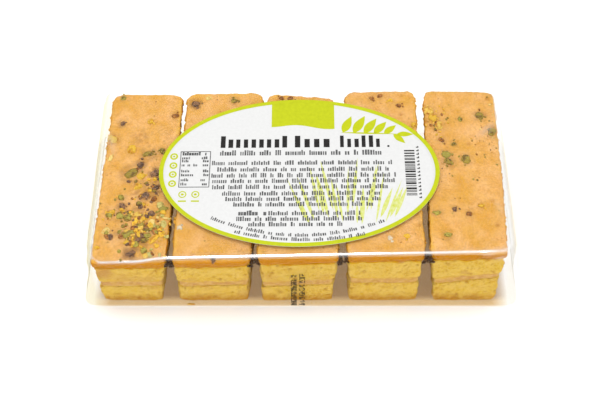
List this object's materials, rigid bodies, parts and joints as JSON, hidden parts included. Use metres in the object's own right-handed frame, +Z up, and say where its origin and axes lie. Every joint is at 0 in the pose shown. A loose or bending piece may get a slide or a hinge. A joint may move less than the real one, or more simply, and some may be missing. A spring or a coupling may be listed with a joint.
{
  "type": "pack of pistachio cake slices",
  "caption": "Iced, filled pistachio sponge slices side by side in a clear film pack with a large oval label on top.",
  "frame": {"origin": "centre of the pack's underside", "axes": "+X along the row of slices, +Y from the cut fronts to the backs, +Z up through the label"},
  "size_m": [0.218, 0.104, 0.0452],
  "materials": {
    "film": "clear gloss film",
    "label": "satin printed paper",
    "sponge": "matte crumb",
    "filling": "satin cream",
    "icing": "satin icing with pistachio nibs"
  },
  "bodies": {
    "root": {"film_cover": "film", "film_underside": "film", "label": "label", "slice_1_lower_sponge": "sponge", "slice_1_filling": "filling", "slice_1_upper_sponge": "sponge", "slice_1_icing": "icing", "slice_2_lower_sponge": "sponge", "slice_2_filling": "filling", "slice_2_upper_sponge": "sponge", "slice_2_icing": "icing", "slice_3_lower_sponge": "sponge", "slice_3_filling": "filling", "slice_3_upper_sponge": "sponge", "slice_3_icing": "icing", "slice_4_lower_sponge": "sponge", "slice_4_filling": "filling", "slice_4_upper_sponge": "sponge", "slice_4_icing": "icing", "slice_5_lower_sponge": "sponge", "slice_5_filling": "filling", "slice_5_upper_sponge": "sponge", "slice_5_icing": "icing"}
  },
  "joints": []
}
